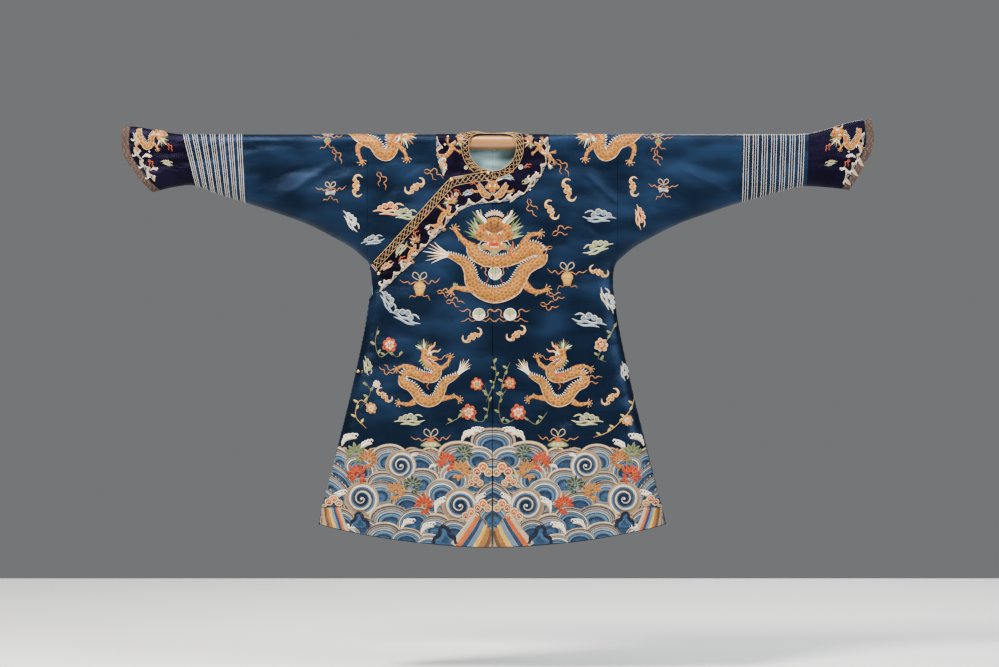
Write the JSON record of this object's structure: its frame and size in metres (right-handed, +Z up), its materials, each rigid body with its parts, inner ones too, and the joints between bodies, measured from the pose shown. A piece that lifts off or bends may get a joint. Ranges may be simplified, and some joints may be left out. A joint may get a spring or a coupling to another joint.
{
  "type": "dragon robe on a hanging rod",
  "caption": "Full-length Chinese dragon robe with horse-hoof cuffs and a curved overlap, hung flat with its sleeves spread on a round rod.",
  "frame": {"origin": "on the hanging rod's axis at the middle of the neck, where the rod holds the robe", "axes": "+Z up; the robe's front faces -Y; +X towards the wearer's left sleeve, along the rod"},
  "size_m": [2.1213, 0.0943, 1.2067],
  "materials": {
    "blue_silk": "satin-woven silk",
    "striped_band": "silk with couched pale stripes",
    "navy_satin": "satin",
    "gold_fret_braid": "woven gold and dark braid",
    "brown_brocade": "brocade",
    "pale_blue_lining": "thin plain silk",
    "gilt_button": "gilt, worn",
    "loop_cord": "rolled silk cord",
    "polished_rod": "lacquered, bright"
  },
  "bodies": {
    "root": {"button_collar": "gilt_button", "button_neck": "gilt_button", "button_side": "gilt_button", "button_underarm": "gilt_button", "collar_facing_lapel": "navy_satin", "collar_facing_left": "navy_satin", "collar_facing_right": "navy_satin", "collar_trim_lapel": "gold_fret_braid", "collar_trim_left": "gold_fret_braid", "collar_trim_right": "gold_fret_braid", "cuff_edge_left": "brown_brocade", "cuff_edge_right": "brown_brocade", "cuff_left": "navy_satin", "cuff_right": "navy_satin", "front_overlap": "blue_silk", "left_half": "blue_silk", "lining_back_left": "pale_blue_lining", "lining_back_right": "pale_blue_lining", "loop_collar": "loop_cord", "loop_side": "loop_cord", "loop_underarm": "loop_cord", "right_half": "blue_silk", "rod": "polished_rod", "sleeve_band_left": "striped_band", "sleeve_band_right": "striped_band", "sleeve_left": "blue_silk", "sleeve_right": "blue_silk"}
  },
  "joints": []
}
